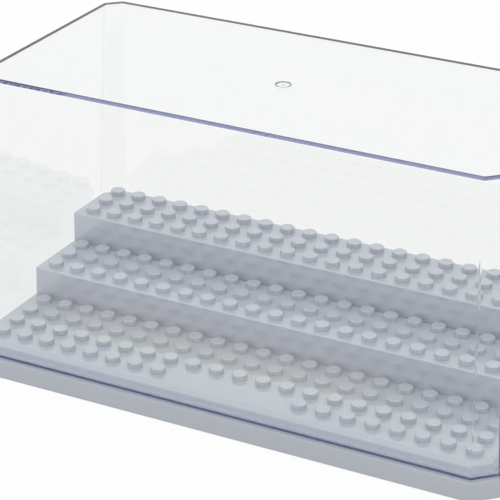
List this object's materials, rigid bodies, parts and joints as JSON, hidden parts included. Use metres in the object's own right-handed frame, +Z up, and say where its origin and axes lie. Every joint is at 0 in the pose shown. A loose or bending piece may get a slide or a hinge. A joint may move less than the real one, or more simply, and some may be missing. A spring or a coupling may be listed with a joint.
{
  "type": "tiered display case",
  "caption": "Clear lift-off display case on a grey stepped base with rows of round studs for small figures.",
  "frame": {"origin": "middle of the base's underside, on the surface that the case stands on", "axes": "+X along the stud rows, +Y from the front tier to the rear tier, +Z up"},
  "size_m": [0.1826, 0.0948, 0.0972],
  "materials": {
    "grey_moulding": "gloss moulded plastic",
    "clear_moulding": "polished clear plastic"
  },
  "bodies": {
    "base": {"base_tray": "grey_moulding"},
    "lower_step": {"middle_step": "grey_moulding"},
    "upper_step": {"top_step": "grey_moulding"},
    "lid": {"cover": "clear_moulding"}
  },
  "joints": [
    {"name": "cover_lift", "type": "slide", "parent": "base", "child": "lid", "axis": [0, 0, 1], "range_m": [0, 0.11]},
    {"name": "middle_step_lift", "type": "slide", "parent": "base", "child": "lower_step", "axis": [0, 0, 1], "range_m": [0, 0.015]},
    {"name": "top_step_lift", "type": "slide", "parent": "base", "child": "upper_step", "axis": [0, 0, 1], "range_m": [0, 0.015]}
  ]
}
